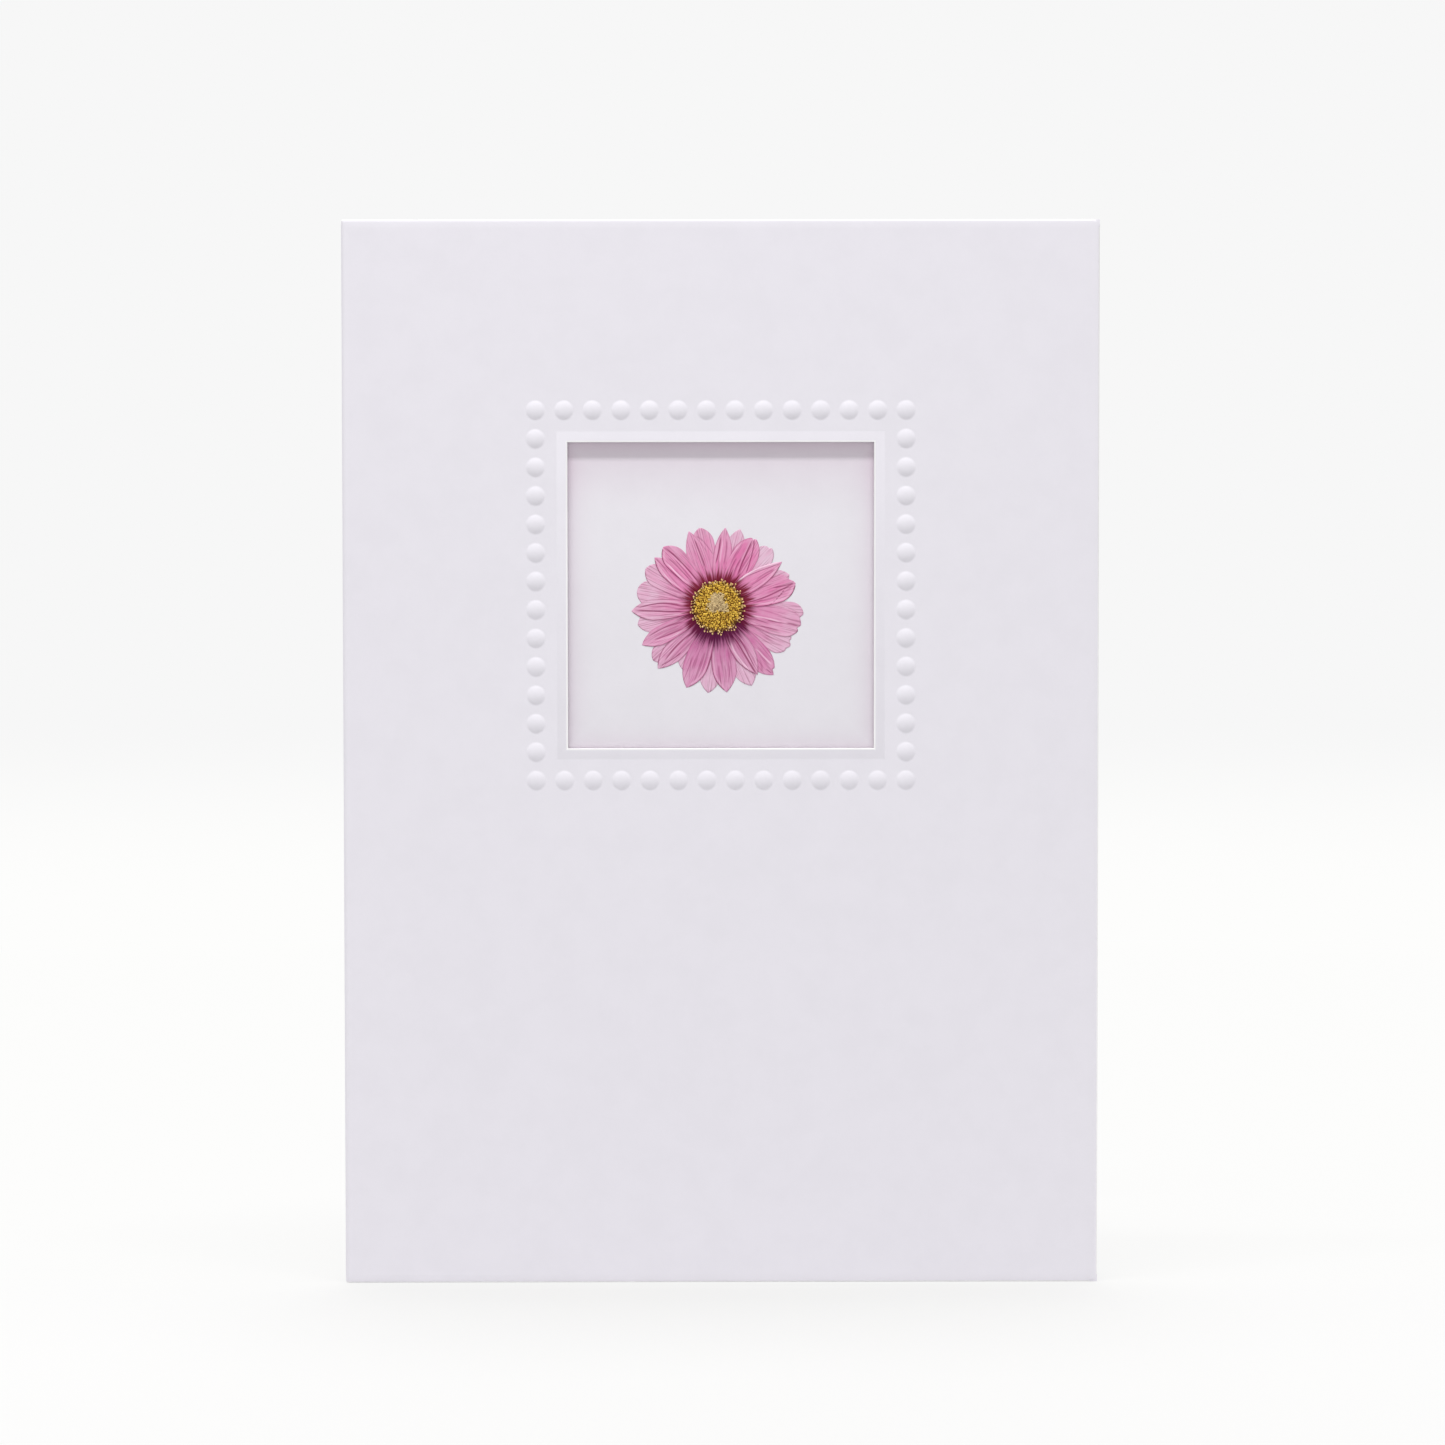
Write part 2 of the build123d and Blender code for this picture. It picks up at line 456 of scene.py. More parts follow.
def knob_finish(name, low, high, rough):
    """Pollen-dusted knobs, each with a shade of its own."""
    finish = Finish(bpy.data.materials.new(name))
    own = finish.channels("own_shade")[0]
    dust = finish.grain(finish.place(), 5200.0, detail=3.0, roughness=0.6)
    shade = finish.blend((own * 0.75 + dust * 0.4 - 0.1).clamped(), tint(low), tint(high))
    return finish.surface(
        {
            "Base Color": shade,
            "Roughness": rough,
            "Specular IOR Level": 0.35,
            "Normal": finish.relief(dust, 0.3, 0.05 * MM),
        }
    )


def verts_of(geometry):
    return [part for part in geometry if isinstance(part, bmesh.types.BMVert)]


def edges_of(geometry):
    return [part for part in geometry if isinstance(part, bmesh.types.BMEdge)]


def faces_of(geometry):
    return [part for part in geometry if isinstance(part, bmesh.types.BMFace)]


def ring(bm, sides, radius, height=0.0, turn=0.0):
    """A ring of edges round the origin; its radius is out to its corners."""
    spot = Matrix.Translation((0, 0, height)) @ Matrix.Rotation(turn, 4, "Z")
    made = bmesh.ops.create_circle(bm, cap_ends=False, radius=radius, segments=sides, matrix=spot)
    return list({edge for vert in made["verts"] for edge in vert.link_edges})


def carry(bm, edges, scale, lift):
    """Draw a ring of edges inwards by scale and forwards by lift; return the new ring."""
    made = bmesh.ops.extrude_edge_only(bm, edges=edges)["geom"]
    fresh = verts_of(made)
    bmesh.ops.scale(bm, vec=(scale, scale, 1.0), verts=fresh)
    bmesh.ops.translate(bm, vec=(0.0, 0.0, lift), verts=fresh)
    reached = set(fresh)
    return [edge for edge in edges_of(made) if set(edge.verts) <= reached]


def carry_profile(bm, edges, profile):
    """Carry a ring through a profile of (radius, height) points; the first is where it is."""
    for (radius, height), (next_radius, next_height) in zip(profile, profile[1:]):
        edges = carry(bm, edges, next_radius / radius, next_height - height)
    return edges


def new_piece(name, bm, materials, nodes=(), sharp=radians(35)):
    """Turn a bmesh into a piece that rides on the card; edges over the sharp angle stay hard."""
    for face in bm.faces:
        face.smooth = True
    for edge in bm.edges:
        edge.smooth = edge.smooth and edge.calc_face_angle(0.0) < sharp
    mesh = bpy.data.meshes.new(name)
    bm.to_mesh(mesh)
    bm.free()
    for material in materials:
        mesh.materials.append(material)
    piece = bpy.data.objects.new(name, mesh)
    bpy.context.scene.collection.objects.link(piece)
    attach(piece, "root")
    if nodes:
        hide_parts(*nodes)
    return piece


def front_plane():
    """Where the flat front panel goes: its X to +X, its Y to +Z, and its Z to -Y."""
    sizes = bpy.context.scene.card_sheet
    rear_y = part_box("backing_sheet")[0].y
    middle = sizes.panel_height - sizes.window_drop
    spot = Matrix.Translation((0.0, rear_y - sizes.thickness, middle))
    return spot @ Matrix.Rotation(pi / 2, 4, "X")


def flower_plane():
    """Where the flower is worked: the middle of its disc, on the front of the backing."""
    sizes = bpy.context.scene.card_flower
    sheet = bpy.context.scene.card_sheet
    middle = sheet.panel_height - sheet.window_drop + sizes.middle_z
    spot = Matrix.Translation((sizes.middle_x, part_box("backing_sheet")[0].y, middle))
    return spot @ Matrix.Rotation(pi / 2, 4, "X")


def camera_view():
    """Where the camera stands and how it is turned."""
    turn = Matrix.Rotation(radians(CAMERA_YAW), 4, "Z")
    turn = turn @ Matrix.Rotation(radians(90 - CAMERA_DIP), 4, "X")
    turn = turn @ Matrix.Rotation(radians(CAMERA_ROLL), 4, "Z")
    return Matrix.Translation(Vector(CAMERA_PLACE) * MM) @ turn


def seen_spot(across, down):
    """The spot that a pixel of the photograph shows on the flower, in mm from its middle."""
    middle_x, middle_z = FLOWER_MIDDLE
    middle = (middle_x * MM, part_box("backing_sheet")[0].y, (WINDOW_HEIGHT + middle_z) * MM)
    flower = Matrix.Translation(middle) @ Matrix.Rotation(pi / 2, 4, "X")
    seen_from = flower.inverted() @ camera_view()
    eye = seen_from.translation
    aside = across / PHOTO_SIDE - 0.5
    upward = 0.5 - down / PHOTO_SIDE
    sight = seen_from.to_3x3() @ Vector((aside, upward, -CAMERA_LENS / CAMERA_SENSOR))
    return (eye - sight * (eye.z / sight.z)).xy / MM


# Rows of the front panel's edge, where the cutter has pressed it down: how far in, how low
EDGE_ROWS = ((0.0, -0.055), (0.4, -0.02), (1.1, 0.0))
BEAD_SIDES = 32
FOLD_STEPS = 20


def bead_profile(sizes):
    """Radius and height of a bead, from the flat round it to its top."""
    rise, foot = sizes.bead_rise, sizes.bead_radius
    sphere = (foot**2 + rise**2) / (2 * rise)
    profile = [(foot + 0.12 * MM, 0.0), (foot + 0.04 * MM, 0.003 * MM)]
    for share in (0.965, 0.9, 0.78, 0.62, 0.42, 0.2):
        profile.append((foot * share, sqrt(sphere**2 - (foot * share) ** 2) - sphere + rise))
    return profile


def rim_profile(sizes):
    """Half side and height of the raised frame, from the flat round it to its crest."""
    crest_out = sizes.window_side / 2 + sizes.crest
    foot = crest_out + sizes.bevel
    return [
        (foot + 0.10 * MM, 0.0),
        (foot, 0.012 * MM),
        (foot - 0.10 * MM, 0.1 * sizes.rise + 0.012 * MM),
        (crest_out + 0.08 * MM, 0.93 * sizes.rise),
        (crest_out, sizes.rise),
        (crest_out - 0.12 * MM, sizes.rise + 0.01 * MM),
    ]


def bead_places(sizes):
    """Middles of the beads, on a square round the frame."""
    foot = sizes.window_side / 2 + sizes.crest + sizes.bevel
    reach = foot + sizes.bead_offset
    pitch = 2 * reach / (sizes.bead_count - 1)
    line = [index * pitch - reach for index in range(sizes.bead_count)]
    for across in line:
        for up in line:
            if abs(across) > reach - pitch / 2 or abs(up) > reach - pitch / 2:
                yield Vector((across, up, 0.0))


def front_surface(bm, sizes):
    """The front face of the front panel, flat but for the frame and the beads."""
    low, top = sizes.window_drop - sizes.panel_height, sizes.window_drop
    left, right = sizes.fold_radius - sizes.panel_width / 2, sizes.panel_width / 2
    spot = Matrix.Translation(((left + right) / 2, (low + top) / 2, 0.0))
    size = Matrix.Diagonal(((right - left) / 2, (top - low) / 2, 1.0, 1.0))
    bmesh.ops.create_grid(bm, x_segments=1, y_segments=1, size=1.0, matrix=spot @ size)
    for inset, _ in EDGE_ROWS[1:]:
        for point, normal in (
            ((0, low + inset * MM, 0), (0, 1, 0)),
            ((0, top - inset * MM, 0), (0, 1, 0)),
            ((right - inset * MM, 0, 0), (1, 0, 0)),
        ):
            everything = bm.verts[:] + bm.edges[:] + bm.faces[:]
            bmesh.ops.bisect_plane(bm, geom=everything, plane_co=point, plane_no=normal, dist=1e-7)
    middle = max(bm.faces, key=lambda face: face.calc_area())
    holes = list(middle.edges)
    bmesh.ops.delete(bm, geom=[middle], context="FACES_ONLY")

    profile = rim_profile(sizes)
    rim = ring(bm, 4, profile[0][0] * sqrt(2), turn=pi / 4)
    holes += rim
    crest = carry_profile(bm, rim, profile)

    before = set(bm.verts)
    profile = bead_profile(sizes)
    foot = ring(bm, BEAD_SIDES, profile[0][0])
    cap = carry_profile(bm, foot, profile)
    bmesh.ops.edgeloop_fill(bm, edges=cap)
    bead_verts = [vert for vert in bm.verts if vert not in before]
    bead = bead_verts + list({e for v in bead_verts for e in v.link_edges})
    bead += list({f for v in bead_verts for f in v.link_faces})
    for place in bead_places(sizes):
        copied = bmesh.ops.duplicate(bm, geom=bead)
        bmesh.ops.translate(bm, vec=place, verts=verts_of(copied["geom"]))
        holes += [copied["edge_map"][edge] for edge in foot]
    bmesh.ops.delete(bm, geom=bead_verts, context="VERTS")

    bmesh.ops.triangle_fill(bm, use_beauty=True, edges=holes, normal=(0, 0, 1))
    for edge in holes:
        edge.smooth = False
    return crest


def build_sheet(sizes, materials):
    """The whole folded sheet: the front panel's two faces, the fold and the back panel."""
    bm = bmesh.new()
    crest = front_surface(bm, sizes)
    bmesh.ops.recalc_face_normals(bm, faces=bm.faces[:])
    if sum(face.normal.z * face.calc_area() for face in bm.faces) < 0:
        bmesh.ops.reverse_faces(bm, faces=bm.faces[:])
    outline = [edge for edge in bm.edges if edge.is_boundary and edge not in set(crest)]

    copied = bmesh.ops.duplicate(bm, geom=bm.verts[:] + bm.edges[:] + bm.faces[:])
    rear = copied["geom"]
    rear_map = copied["edge_map"]
    bmesh.ops.translate(bm, vec=(0, 0, -sizes.thickness), verts=verts_of(rear))
    bmesh.ops.reverse_faces(bm, faces=faces_of(rear))
    rear_outline = [rear_map[edge] for edge in outline]
    rear_crest = [rear_map[edge] for edge in crest]

    # The cutter's pressed edge is on the front only
    low, top = sizes.window_drop - sizes.panel_height, sizes.window_drop
    right = sizes.panel_width / 2
    for inset, drop in EDGE_ROWS[:-1]:
        row = [
            vert
            for vert in bm.verts
            if vert.co.z > -sizes.thickness / 2
            and abs(min(vert.co.y - low, top - vert.co.y, right - vert.co.x) - inset * MM) < 1e-6
        ]
        bmesh.ops.translate(bm, vec=(0, 0, drop * MM), verts=row)

    # Window: round the crest over to the cut, then join it to the rear
    half = sizes.window_side / 2
    crest_in = sizes.window_side / 2 + sizes.crest - 0.12 * MM
    high = sizes.rise + 0.01 * MM
    rolled = [
        (crest_in, high),
        (half + 0.10 * MM, high),
        (half + 0.04 * MM, high - 0.02 * MM),
        (half, high - 0.09 * MM),
    ]
    lip = carry_profile(bm, crest, rolled)
    rear_lip = carry_profile(bm, rear_crest, [(crest_in, high), (half, high)])
    bmesh.ops.bridge_loops(bm, edges=lip + rear_lip)
    bmesh.ops.bridge_loops(bm, edges=outline + rear_outline)

    # Fold: the wall at the left goes, and its outline is swept round and along
    left = sizes.fold_radius - sizes.panel_width / 2
    side = [
        face
        for face in bm.faces
        if abs(face.normal.x) > 0.99 and abs(face.calc_center_median().x - left) < 1e-6
    ]
    bmesh.ops.delete(bm, geom=side, context="FACES_ONLY")
    cut_edges = [
        edge
        for edge in bm.edges
        if len(edge.link_faces) == 2
        and edge.calc_face_angle(0.0) > radians(60)
        and max(abs(vert.co.x) for vert in edge.verts) > half + 5 * MM
        and min(
            abs(sum(vert.co.y for vert in edge.verts) / 2 - low),
            abs(sum(vert.co.y for vert in edge.verts) / 2 - top),
            abs(sum(vert.co.x for vert in edge.verts) / 2 - right),
        )
        < 1e-6
        and edge.calc_length() > 2 * sizes.thickness
    ]
    front_cuts = [edge for edge in cut_edges if edge.verts[0].co.z > -sizes.thickness / 2]
    rear_cuts = [edge for edge in cut_edges if edge.verts[0].co.z <= -sizes.thickness / 2]
    for edges, offset in ((front_cuts, 0.16 * MM), (rear_cuts, 0.08 * MM)):
        bmesh.ops.bevel(
            bm,
            geom=edges,
            offset=offset,
            offset_type="OFFSET",
            affect="EDGES",
            segments=3,
            profile=0.5,
            material=-1,
            clamp_overlap=True,
        )
    section = [edge for edge in bm.edges if edge.is_boundary]
    corners = list({vert for edge in section for vert in edge.verts})
    axis_spot = (left, 0.0, -sizes.fold_radius)
    swept = bmesh.ops.spin(
        bm,
        geom=corners + section,
        cent=axis_spot,
        axis=(0, 1, 0),
        dvec=(0, 0, 0),
        angle=-(pi - sizes.opening),
        steps=FOLD_STEPS,
        use_duplicate=False,
    )["geom_last"]
    run = Vector((cos(sizes.opening), 0.0, -sin(sizes.opening)))
    for share in (0.004, 0.492, 0.5, 0.004):
        moved = bmesh.ops.extrude_edge_only(bm, edges=edges_of(swept))["geom"]
        fresh = verts_of(moved)
        bmesh.ops.translate(
            bm, vec=run * (sizes.panel_width - sizes.fold_radius) * share, verts=fresh
        )
        reached = set(fresh)
        swept = [edge for edge in edges_of(moved) if set(edge.verts) <= reached]
    bmesh.ops.edgeloop_fill(bm, edges=swept)
    bmesh.ops.recalc_face_normals(bm, faces=bm.faces[:])

    # The core of the sheet shows where it is cut
    for face in bm.faces:
        middle = face.calc_center_median()
        at_cut = (
            abs(face.normal.y) > 0.3
            and min(abs(middle.y - low), abs(middle.y - top)) < 0.2 * MM
        )
        at_side = abs(middle.x - right) < 0.17 * MM and abs(face.normal.x) > 0.3
        at_window = max(abs(middle.x), abs(middle.y)) < half + sizes.crest * 0.8
        face.material_index = 1 if at_cut or at_side or at_window else 0
    bmesh.ops.transform(bm, matrix=front_plane(), verts=bm.verts[:])
    return new_piece("folded_sheet", bm, materials, ["card"])


class CARD_OT_sheet(bpy.types.Operator):
    """Make the folded sheet with its embossed frame and beads"""

    bl_idname = "card.sheet"
    bl_label = "Folded sheet"

    def execute(self, context):
        colours = context.scene.card_paper
        face = paper_finish("card_stock_face", colours.sheet)
        core = paper_finish("card_stock_cut", colours.cut, tooth=0.5)
        build_sheet(context.scene.card_sheet, [face, core])
        return {"FINISHED"}


class CARD_OT_backing(bpy.types.Operator):
    """Make the sheet that is glued behind the window"""

    bl_idname = "card.backing"
    bl_label = "Backing sheet"

    def execute(self, context):
        low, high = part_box("backing_sheet")
        bm = bmesh.new()
        spot = Matrix.Translation((low + high) / 2) @ Matrix.Diagonal((*(high - low), 1.0))
        bmesh.ops.create_cube(bm, size=1.0, matrix=spot)
        bmesh.ops.bevel(
            bm,
            geom=bm.edges[:],
            offset=0.06 * MM,
            affect="EDGES",
            segments=3,
            profile=0.5,
            material=-1,
        )
        sheet = context.scene.card_sheet
        # The backing's face has painted shade towards the window's edges
        window = (sheet.panel_height - sheet.window_drop, sheet.window_side / 2, low.y)
        finish = paper_finish("backing_face", context.scene.card_paper.backing, window=window)
        new_piece("backing_panel", bm, [finish], ["backing_sheet"])
        return {"FINISHED"}


# A petal as it lies, seen from the front. The first six say the direction of its tip and of
# its root in degrees from +X, how far the tip reaches, its greatest width, the length over
# which it narrows, and its level in the pile. They are as in the solids, but for petal 4, whose
# root, width and taper are its own. Then come its depth of colour, how dark its left and right
# margins are, where less than 0 is a pale, curled one, the notches in its tip as (where across,
# how deep, how wide), and its creases as (three points along each, how dark). Across runs from
# -1 at the right edge to 1 at the left, and lengths are in mm. The points of a crease are read
# in pixels of the quarter of the enlarged photograph that the petal points to. Those of petal 4
# are then moved, to suit its own outline.
# A margin or crease below 0 is drawn as a painted highlight; a dark margin or crease is partly painted
# shade
Petal = namedtuple(
    "Petal", "direction root reach width taper level depth left right notches creases"
)
PETALS = (
    Petal(354.8, 357.2, 12.0, 3.1, 1.8, 1, 0.4, 0.1, 0.1, ((-0.35, 0.3, 0.25),),
          (((900, 90), (1000, 150), (1090, 230), -0.4), ((860, 60), (980, 110), (1100, 180), 0.2))),
    Petal(16.6, 13.3, 11.3, 3.8, 2.7, 3, 0.76, 0.1, 1.0, ((0.45, 0.3, 0.2),),
          (((1020, 882), (920, 915), (760, 945), 0.9), ((1000, 905), (740, 1035), (420, 1138), 0.9),
           ((905, 970), (800, 1075), (670, 1180), 1.0), ((1010, 925), (900, 1010), (760, 1100), 0.3),
           ((620, 1100), (520, 1140), (410, 1165), 0.4))),
    Petal(23.8, 26.4, 10.9, 3.0, 2.4, 1, 0.4, 0.1, 0.1, (),
          (((960, 870), (860, 850), (760, 850), 0.3),)),
    Petal(34.4, 41.0, 10.9, 2.7, 4.8, 4, 0.7, -1.3, 0.9, (),
          (((839, 640), (590, 702), (341, 843), 0.8), ((770, 711), (650, 762), (534, 846), 0.5),
           ((690, 770), (589, 830), (463, 901), 0.3))),
    Petal(47.2, 49.6, 11.1, 3.0, 1.9, 0, 0.0, 0.1, 0.4, ((0.2, 0.2, 0.2),), ()),
    Petal(61.3, 64.4, 10.9, 3.8, 3.0, 3, 0.88, 0.5, 0.3, ((0.05, 0.3, 0.12),),
          (((490, 315), (400, 520), (290, 780), 1.0), ((515, 310), (492, 510), (400, 760), 0.9),
           ((275, 560), (215, 680), (185, 770), 0.6), ((345, 560), (290, 660), (240, 800), 0.5),
           ((580, 470), (568, 590), (550, 680), 0.4), ((320, 380), (190, 540), (140, 680), -0.7))),
    Petal(73.7, 75.8, 11.2, 2.8, 3.2, 0, 0.2, 0.1, 0.2, (), ()),
    Petal(84.0, 88.5, 11.0, 2.6, 4.0, 2, 0.75, 0.4, 0.2, (),
          (((75, 290), (50, 440), (10, 620), 1.0), ((150, 320), (140, 480), (110, 640), 0.5),
           ((105, 330), (80, 460), (60, 620), -0.6))),
    Petal(103.0, 103.7, 11.2, 3.2, 2.3, 1, 0.65, 0.1, 0.2, (),
          (((960, 280), (1080, 410), (1190, 520), 0.5), ((1130, 560), (1120, 640), (1130, 740), 0.3))),
    Petal(111.0, 116.0, 11.2, 2.8, 4.0, 2, 0.68, 0.1, 0.3, (),
          (((950, 320), (1005, 470), (1080, 680), 0.8), ((880, 240), (930, 330), (975, 470), 0.3),
           ((965, 700), (990, 770), (1020, 840), 0.4))),
    Petal(131.9, 128.5, 11.2, 3.2, 2.4, 3, 0.78, 1.0, 0.1, (),
          (((560, 418), (750, 590), (1000, 880), 1.0), ((600, 560), (740, 690), (890, 850), 0.6),
           ((690, 590), (800, 710), (940, 870), 0.5), ((600, 640), (730, 790), (900, 950), -0.7),
           ((640, 480), (780, 590), (900, 700), 0.3))),
    Petal(142.1, 152.6, 11.1, 2.6, 3.2, 2, 0.8, 1.0, 0.1, (),
          (((445, 570), (530, 660), (600, 760), 0.5), ((490, 680), (600, 850), (760, 1010), -0.8),
           ((600, 760), (690, 880), (860, 1020), 0.4))),
    Petal(152.5, 156.2, 11.3, 3.2, 2.0, 1, 0.4, 0.4, 0.1, (), ()),
    Petal(168.8, 168.6, 11.4, 3.6, 1.9, 0, 0.3, 0.1, 0.1, (),
          (((560, 1000), (700, 1060), (840, 1130), 0.5),)),
    Petal(183.2, 180.4, 12.0, 2.8, 3.4, 4, 0.38, 0.9, 0.3, (),
          (((200, 112), (480, 52), (790, 85), 0.8), ((185, 142), (500, 152), (810, 150), 1.0),
           ((330, 95), (560, 90), (800, 120), 0.4), ((300, 190), (520, 215), (760, 205), 0.3),
           ((260, 75), (520, 25), (800, 55), -0.5))),
    Petal(192.7, 190.3, 11.4, 2.8, 2.0, 1, 0.3, 0.1, 0.1, (), ()),
    Petal(206.8, 205.0, 11.8, 2.6, 3.0, 3, 0.7, 0.7, 0.2, (),
          (((340, 475), (560, 355), (800, 285), 0.7), ((420, 520), (600, 455), (800, 365), 0.8),
           ((330, 545), (520, 430), (760, 320), 0.3), ((400, 545), (600, 490), (760, 410), -0.5))),
    Petal(219.8, 219.6, 11.7, 3.0, 2.0, 0, 0.45, 0.1, 0.2, (),
          (((500, 800), (580, 660), (660, 560), 0.5),)),
    Petal(226.1, 224.9, 12.0, 2.9, 3.6, 2, 0.6, 0.6, 0.8, (),
          (((560, 790), (700, 610), (900, 430), 0.8), ((500, 862), (640, 790), (760, 690), 0.9),
           ((640, 770), (760, 640), (880, 520), 0.4), ((600, 700), (700, 590), (860, 440), -0.4))),
    Petal(240.1, 241.1, 10.0, 3.0, 2.2, 1, 0.28, 0.1, 0.1, (), ()),
    Petal(249.1, 250.8, 12.1, 3.4, 3.6, 3, 0.8, 0.9, 0.3, (),
          (((1075, 690), (1020, 860), (930, 1060), 0.5), ((900, 740), (880, 900), (870, 1040), 0.3),
           ((1120, 700), (1080, 860), (980, 1010), 0.3))),
    Petal(263.7, 264.0, 12.1, 3.1, 2.8, 0, 0.3, 0.1, 0.1, (), ()),
    Petal(276.1, 277.3, 12.0, 3.4, 3.6, 2, 0.8, 0.2, 0.9, (),
          (((50, 860), (55, 980), (80, 1090), 0.5), ((120, 850), (140, 960), (140, 1080), 0.3),
           ((195, 860), (190, 970), (170, 1080), 0.3))),
    Petal(293.1, 291.3, 12.0, 3.1, 2.8, 1, 0.3, 0.1, 0.1, (), ()),
    Petal(300.2, 298.1, 11.0, 3.0, 4.2, 3, 0.6, 0.5, 1.0, (),
          (((250, 480), (390, 720), (540, 970), 1.0), ((300, 480), (410, 670), (510, 880), 0.8),
           ((370, 560), (450, 690), (530, 830), 0.4), ((210, 560), (320, 770), (470, 940), -0.8))),
    Petal(309.0, 309.1, 12.3, 3.4, 3.2, 2, 0.85, 0.3, 0.1, ((0.25, 0.35, 0.12),),
          (((545, 645), (640, 740), (735, 835), -0.8), ((560, 670), (640, 770), (725, 860), 0.4),
           ((665, 895), (700, 925), (740, 958), 0.7), ((585, 770), (600, 850), (600, 930), 0.4))),
    Petal(331.3, 330.6, 11.5, 3.7, 2.0, 0, 0.38, 0.1, 0.2, ((0.3, 0.3, 0.15), (-0.3, 0.2, 0.15)),
          (((600, 520), (740, 560), (880, 600), 0.3), ((640, 450), (780, 500), (920, 560), 0.3))),
    Petal(346.3, 349.4, 11.9, 4.0, 2.2, 2, 0.55, 0.1, 0.5, ((-0.15, 0.35, 0.15),),
          (((420, 195), (640, 228), (880, 295), -0.8), ((700, 262), (800, 285), (900, 305), 0.7),
           ((940, 298), (1020, 320), (1085, 342), 0.7), ((430, 300), (640, 345), (820, 395), 0.7),
           ((560, 120), (760, 170), (1000, 260), 0.3), ((440, 235), (560, 260), (700, 300), 0.4))),
)
PETAL_ROWS = 40
PETAL_COLUMNS = 64
FLOWER_REACH = 12.5

# Left and top of each quarter in the photograph, anticlockwise from the upper right, in pixels,
# and how many times it was enlarged
QUARTERS = ((715, 515), (622, 515), (622, 600), (715, 600))
ENLARGED = 13

# How a petal lies, in mm: the cosine within which others can be below it, the length over which
# it comes down beside one, its height over the sheet, and its waves sideways and upwards
BELOW_TURN = 0.7
DRAPE_LENGTH = 0.5
REST_HEIGHT = 0.012
SIDE_SWAY = 0.12
WAVE_HEIGHT = 0.01

# The dark line along a petal's tip and its width, and how wide and deep a crease is
TIP_LINE = 0.12
TIP_LINE_WIDTH = 0.09
CREASE_WIDTH = 0.1
CREASE_DEPTH = 0.012


def petal_frame(petal, sizes):
    """Where a petal is worked, its root at the origin and its tip on +X, and its length."""
    root = Vector((cos(radians(petal.root)), sin(radians(petal.root)))) * sizes.root_radius / MM
    tip = Vector((cos(radians(petal.direction)), sin(radians(petal.direction)))) * petal.reach
    run = tip - root
    return root, run.normalized(), run.length


def petal_half_width(petal, span, root_width, along):
    """Half the petal's width, as wide as it would be with no tip."""
    shoulder = span - petal.taper
    if along >= shoulder:
        return petal.width / 2
    drop = (petal.width - root_width) / 2
    bend = (shoulder**2 + drop**2) / (2 * drop)
    return petal.width / 2 - bend + sqrt(bend**2 - (shoulder - along) ** 2)


def petal_tip(petal, span, across):
    """How far along the petal ends at one place across it, but for its notches."""
    half = petal.width / 2
    bend = (petal.taper**2 + half**2) / petal.width
    reach = sqrt(max(bend**2 - (abs(across) * half - half + bend) ** 2, 0.0))
    return span - petal.taper + reach


def petal_end(petal, span, across):
    """How far along the petal ends at one place across it."""
    end = petal_tip(petal, span, across)
    for place, deep, wide in petal.notches:
        end -= deep * exp(-(((across - place) / wide) ** 2))
    return end


def petal_covers(petal, frame_of_petal, root_width, point):
    """How far inside a petal's outline a point lies, in mm; less than nothing is outside."""
    root, run, span = frame_of_petal
    offset = point - root
    along = offset.dot(run)
    across = abs(run.x * offset.y - run.y * offset.x)
    if along < 0 or along > span:
        return -1.0
    half = petal_half_width(petal, span, root_width, along)
    if along > span - petal.taper:
        bend = (petal.taper**2 + (petal.width / 2) ** 2) / petal.width
        rest = along - span + petal.taper
        half = petal.width / 2 - bend + sqrt(max(bend**2 - rest**2, 0.0))
    return half - across


def read_crease(petal, sizes, crease):
    """A crease as shares of its petal's length and width, to the hundredth.

    It says where along the crease starts and ends, where across it starts, passes its middle
    and ends, and how dark it is.
    """
    root, run, span = petal_frame(petal, sizes)
    left, top = QUARTERS[int(petal.direction // 90)]
    *points, strength = crease
    places = []
    for point_x, point_y in points:
        offset = seen_spot(left + point_x / ENLARGED, top + point_y / ENLARGED) - root
        along = offset.dot(run)
        half = petal_half_width(petal, span, sizes.root_width / MM, along)
        across = (run.x * offset.y - run.y * offset.x) / half
        end = petal_tip(petal, span, min(max(across, -1.0), 1.0))
        places.append((round(along / end, 2), round(across, 2)))
    (start, at_start), (_, at_middle), (stop, at_stop) = sorted(places)
    return start, stop, at_start, at_middle, at_stop, strength


def ramp(value):
    """The value, held between 0 and 1."""
    return min(max(value, 0.0), 1.0)


def crease_marks(creases, share, across, half):
    """Darkness and depth of the creases at one spot of a petal."""
    line = 0.0
    depth = 0.0
    for start, stop, at_start, at_middle, at_stop, strength in creases:
        done = (share - start) / (stop - start)
        place = at_start + (4 * at_middle - 3 * at_start - at_stop) * done
        place += 2 * (at_start + at_stop - 2 * at_middle) * done**2
        fade = ramp(done / 0.15 + 0.3) * ramp((1 - done) / 0.15 + 0.3) * strength
        away = (across - place) * half / CREASE_WIDTH
        # Each crease is partly its own darker colour and partly painted shade, with a painted
        # highlight beside it; one of strength below 0 draws a painted highlight instead
        line += fade * exp(-(away**2)) - 0.3 * fade * exp(-((away - 2.0) ** 2))
        depth += CREASE_DEPTH * fade * exp(-((away / 1.3) ** 2))
    return line, depth


